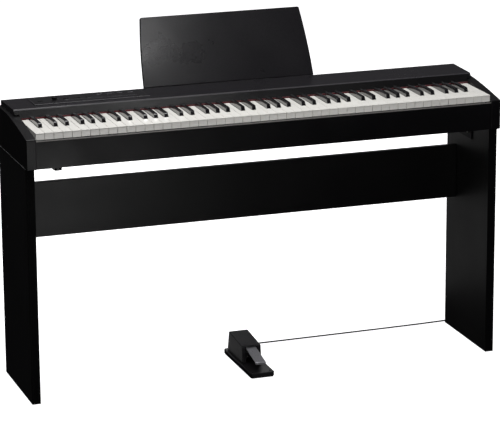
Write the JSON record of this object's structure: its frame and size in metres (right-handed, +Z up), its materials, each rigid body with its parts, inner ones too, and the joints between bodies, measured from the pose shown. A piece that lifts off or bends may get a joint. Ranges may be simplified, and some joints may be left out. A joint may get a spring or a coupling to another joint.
{
  "type": "digital piano on stand",
  "caption": "Slim digital piano with a full keyboard on a two-board stand, with a leaning music rest and a separate damper pedal on a cord.",
  "frame": {"origin": "on the floor, under the middle of the box round the piano, stand, music rest and pedal without the cord", "axes": "+X to the player's right, along the keyboard; +Y from the player to the back of the piano; +Z up"},
  "size_m": [1.3155, 0.3812, 0.9057],
  "materials": {
    "stand_board": "satin black laminate on particle board",
    "black_bracket": "black powder coat",
    "case_black": "satin black, finely textured",
    "cover_black": "satin black, finely textured",
    "trim_black": "satin black",
    "control_black": "satin black",
    "speaker_cone": "matte black",
    "red_felt": "pressed felt",
    "circuit_board": "solder mask",
    "rail_steel": "zinc plated",
    "rest_black": "satin black, finely textured",
    "sole_rubber": "matt ribbed",
    "pedal_black": "satin black",
    "lever_metal": "satin plated",
    "pin_steel": "plain",
    "spring_steel": "plain",
    "plug_plastic": "satin black",
    "cord_rubber": "satin black jacket",
    "white_key": "satin ivory white",
    "black_key": "polished black"
  },
  "bodies": {
    "root": {"left_side_board": "stand_board", "right_side_board": "stand_board", "modesty_panel": "stand_board", "left_corner_bracket": "black_bracket", "right_corner_bracket": "black_bracket", "bottom_board": "case_black", "left_cheek": "case_black", "right_cheek": "case_black", "key_slip": "case_black", "rear_panel": "case_black", "jack_plate": "trim_black", "headphone_jack_box": "trim_black", "left_speaker": "speaker_cone", "right_speaker": "speaker_cone", "top_cover": "cover_black", "felt_strip": "red_felt", "control_strip": "trim_black", "main_board": "circuit_board", "key_guide_rail": "rail_steel", "key_pivot_rail": "rail_steel", "music_rest": "rest_black", "left_rest_bracket": "black_bracket", "right_rest_bracket": "black_bracket", "pedal_sole": "sole_rubber", "pedal_base": "pedal_black", "pedal_housing": "pedal_black", "pedal_pivot_pin": "pin_steel", "pedal_spring": "spring_steel", "pedal_strain_relief": "plug_plastic", "pedal_cord_floor": "cord_rubber", "pedal_cord_coil": "cord_rubber", "pedal_cord_rise": "cord_rubber", "pedal_plug": "plug_plastic"},
    "key_c4": {"key_c4": "white_key"},
    "key_c4_sharp": {"key_c4_sharp": "black_key"},
    "key_d4": {"key_d4": "white_key"},
    "key_d4_sharp": {"key_d4_sharp": "black_key"},
    "key_e4": {"key_e4": "white_key"},
    "key_f4": {"key_f4": "white_key"},
    "key_f4_sharp": {"key_f4_sharp": "black_key"},
    "key_g4": {"key_g4": "white_key"},
    "key_g4_sharp": {"key_g4_sharp": "black_key"},
    "key_a4": {"key_a4": "white_key"},
    "key_a4_sharp": {"key_a4_sharp": "black_key"},
    "key_b4": {"key_b4": "white_key"},
    "low_white_keys": {"low_white_keys": "white_key"},
    "low_black_keys": {"low_black_keys": "black_key"},
    "tenor_white_keys": {"tenor_white_keys": "white_key"},
    "tenor_black_keys": {"tenor_black_keys": "black_key"},
    "treble_white_keys": {"treble_white_keys": "white_key"},
    "treble_black_keys": {"treble_black_keys": "black_key"},
    "high_white_keys": {"high_white_keys": "white_key"},
    "high_black_keys": {"high_black_keys": "black_key"},
    "power_button": {"power_button": "control_black"},
    "function_button_1": {"function_button_1": "control_black"},
    "function_button_2": {"function_button_2": "control_black"},
    "function_button_3": {"function_button_3": "control_black"},
    "volume_knob": {"volume_knob": "control_black"},
    "pedal_lever": {"pedal_lever": "lever_metal"}
  },
  "joints": [
    {"name": "press_c4", "type": "hinge", "parent": "root", "child": "key_c4", "pos_m": [0, 0.03241, 0.6915], "axis": [1, 0, 0], "range_deg": [0, 2.65], "stiffness_Nm_per_rad": 2.2, "springref_deg": -5.73},
    {"name": "press_c4_sharp", "type": "hinge", "parent": "root", "child": "key_c4_sharp", "pos_m": [0, 0.03241, 0.6915], "axis": [1, 0, 0], "range_deg": [0, 2.65], "stiffness_Nm_per_rad": 1.5, "springref_deg": -4.58},
    {"name": "press_d4", "type": "hinge", "parent": "root", "child": "key_d4", "pos_m": [0, 0.03241, 0.6915], "axis": [1, 0, 0], "range_deg": [0, 2.65], "stiffness_Nm_per_rad": 2.2, "springref_deg": -5.73},
    {"name": "press_d4_sharp", "type": "hinge", "parent": "root", "child": "key_d4_sharp", "pos_m": [0, 0.03241, 0.6915], "axis": [1, 0, 0], "range_deg": [0, 2.65], "stiffness_Nm_per_rad": 1.5, "springref_deg": -4.58},
    {"name": "press_e4", "type": "hinge", "parent": "root", "child": "key_e4", "pos_m": [0, 0.03241, 0.6915], "axis": [1, 0, 0], "range_deg": [0, 2.65], "stiffness_Nm_per_rad": 2.2, "springref_deg": -5.73},
    {"name": "press_f4", "type": "hinge", "parent": "root", "child": "key_f4", "pos_m": [0, 0.03241, 0.6915], "axis": [1, 0, 0], "range_deg": [0, 2.65], "stiffness_Nm_per_rad": 2.2, "springref_deg": -5.73},
    {"name": "press_f4_sharp", "type": "hinge", "parent": "root", "child": "key_f4_sharp", "pos_m": [0, 0.03241, 0.6915], "axis": [1, 0, 0], "range_deg": [0, 2.65], "stiffness_Nm_per_rad": 1.5, "springref_deg": -4.58},
    {"name": "press_g4", "type": "hinge", "parent": "root", "child": "key_g4", "pos_m": [0, 0.03241, 0.6915], "axis": [1, 0, 0], "range_deg": [0, 2.65], "stiffness_Nm_per_rad": 2.2, "springref_deg": -5.73},
    {"name": "press_g4_sharp", "type": "hinge", "parent": "root", "child": "key_g4_sharp", "pos_m": [0, 0.03241, 0.6915], "axis": [1, 0, 0], "range_deg": [0, 2.65], "stiffness_Nm_per_rad": 1.5, "springref_deg": -4.58},
    {"name": "press_a4", "type": "hinge", "parent": "root", "child": "key_a4", "pos_m": [0, 0.03241, 0.6915], "axis": [1, 0, 0], "range_deg": [0, 2.65], "stiffness_Nm_per_rad": 2.2, "springref_deg": -5.73},
    {"name": "press_a4_sharp", "type": "hinge", "parent": "root", "child": "key_a4_sharp", "pos_m": [0, 0.03241, 0.6915], "axis": [1, 0, 0], "range_deg": [0, 2.65], "stiffness_Nm_per_rad": 1.5, "springref_deg": -4.58},
    {"name": "press_b4", "type": "hinge", "parent": "root", "child": "key_b4", "pos_m": [0, 0.03241, 0.6915], "axis": [1, 0, 0], "range_deg": [0, 2.65], "stiffness_Nm_per_rad": 2.2, "springref_deg": -5.73},
    {"name": "press_low_white_keys", "type": "hinge", "parent": "root", "child": "low_white_keys", "pos_m": [0, 0.03241, 0.6915], "axis": [1, 0, 0], "range_deg": [0, 2.65], "stiffness_Nm_per_rad": 19.8, "springref_deg": -5.73},
    {"name": "press_low_black_keys", "type": "hinge", "parent": "root", "child": "low_black_keys", "pos_m": [0, 0.03241, 0.6915], "axis": [1, 0, 0], "range_deg": [0, 2.65], "stiffness_Nm_per_rad": 9, "springref_deg": -5.73},
    {"name": "press_tenor_white_keys", "type": "hinge", "parent": "root", "child": "tenor_white_keys", "pos_m": [0, 0.03241, 0.6915], "axis": [1, 0, 0], "range_deg": [0, 2.65], "stiffness_Nm_per_rad": 30.8, "springref_deg": -5.73},
    {"name": "press_tenor_black_keys", "type": "hinge", "parent": "root", "child": "tenor_black_keys", "pos_m": [0, 0.03241, 0.6915], "axis": [1, 0, 0], "range_deg": [0, 2.65], "stiffness_Nm_per_rad": 15, "springref_deg": -5.73},
    {"name": "press_treble_white_keys", "type": "hinge", "parent": "root", "child": "treble_white_keys", "pos_m": [0, 0.03241, 0.6915], "axis": [1, 0, 0], "range_deg": [0, 2.65], "stiffness_Nm_per_rad": 30.8, "springref_deg": -5.73},
    {"name": "press_treble_black_keys", "type": "hinge", "parent": "root", "child": "treble_black_keys", "pos_m": [0, 0.03241, 0.6915], "axis": [1, 0, 0], "range_deg": [0, 2.65], "stiffness_Nm_per_rad": 15, "springref_deg": -5.73},
    {"name": "press_high_white_keys", "type": "hinge", "parent": "root", "child": "high_white_keys", "pos_m": [0, 0.03241, 0.6915], "axis": [1, 0, 0], "range_deg": [0, 2.65], "stiffness_Nm_per_rad": 17.6, "springref_deg": -5.73},
    {"name": "press_high_black_keys", "type": "hinge", "parent": "root", "child": "high_black_keys", "pos_m": [0, 0.03241, 0.6915], "axis": [1, 0, 0], "range_deg": [0, 2.65], "stiffness_Nm_per_rad": 7.5, "springref_deg": -5.73},
    {"name": "press_power_button", "type": "slide", "parent": "root", "child": "power_button", "axis": [0, 0, -1], "range_m": [0, 0.0012], "stiffness_N_per_m": 300, "springref_m": -0.002},
    {"name": "press_function_button_1", "type": "slide", "parent": "root", "child": "function_button_1", "axis": [0, 0, -1], "range_m": [0, 0.0012], "stiffness_N_per_m": 300, "springref_m": -0.002},
    {"name": "press_function_button_2", "type": "slide", "parent": "root", "child": "function_button_2", "axis": [0, 0, -1], "range_m": [0, 0.0012], "stiffness_N_per_m": 300, "springref_m": -0.002},
    {"name": "press_function_button_3", "type": "slide", "parent": "root", "child": "function_button_3", "axis": [0, 0, -1], "range_m": [0, 0.0012], "stiffness_N_per_m": 300, "springref_m": -0.002},
    {"name": "turn_volume_knob", "type": "hinge", "parent": "root", "child": "volume_knob", "pos_m": [-0.5, 0.05341, 0.7364], "axis": [0, 0, 1], "range_deg": [-150, 150]},
    {"name": "press_pedal", "type": "hinge", "parent": "root", "child": "pedal_lever", "pos_m": [-0.0165, -0.00659, 0.0486], "axis": [1, 0, 0], "range_deg": [0, 6], "stiffness_Nm_per_rad": 8, "springref_deg": -5.73, "deforming": ["pedal_spring"]}
  ]
}
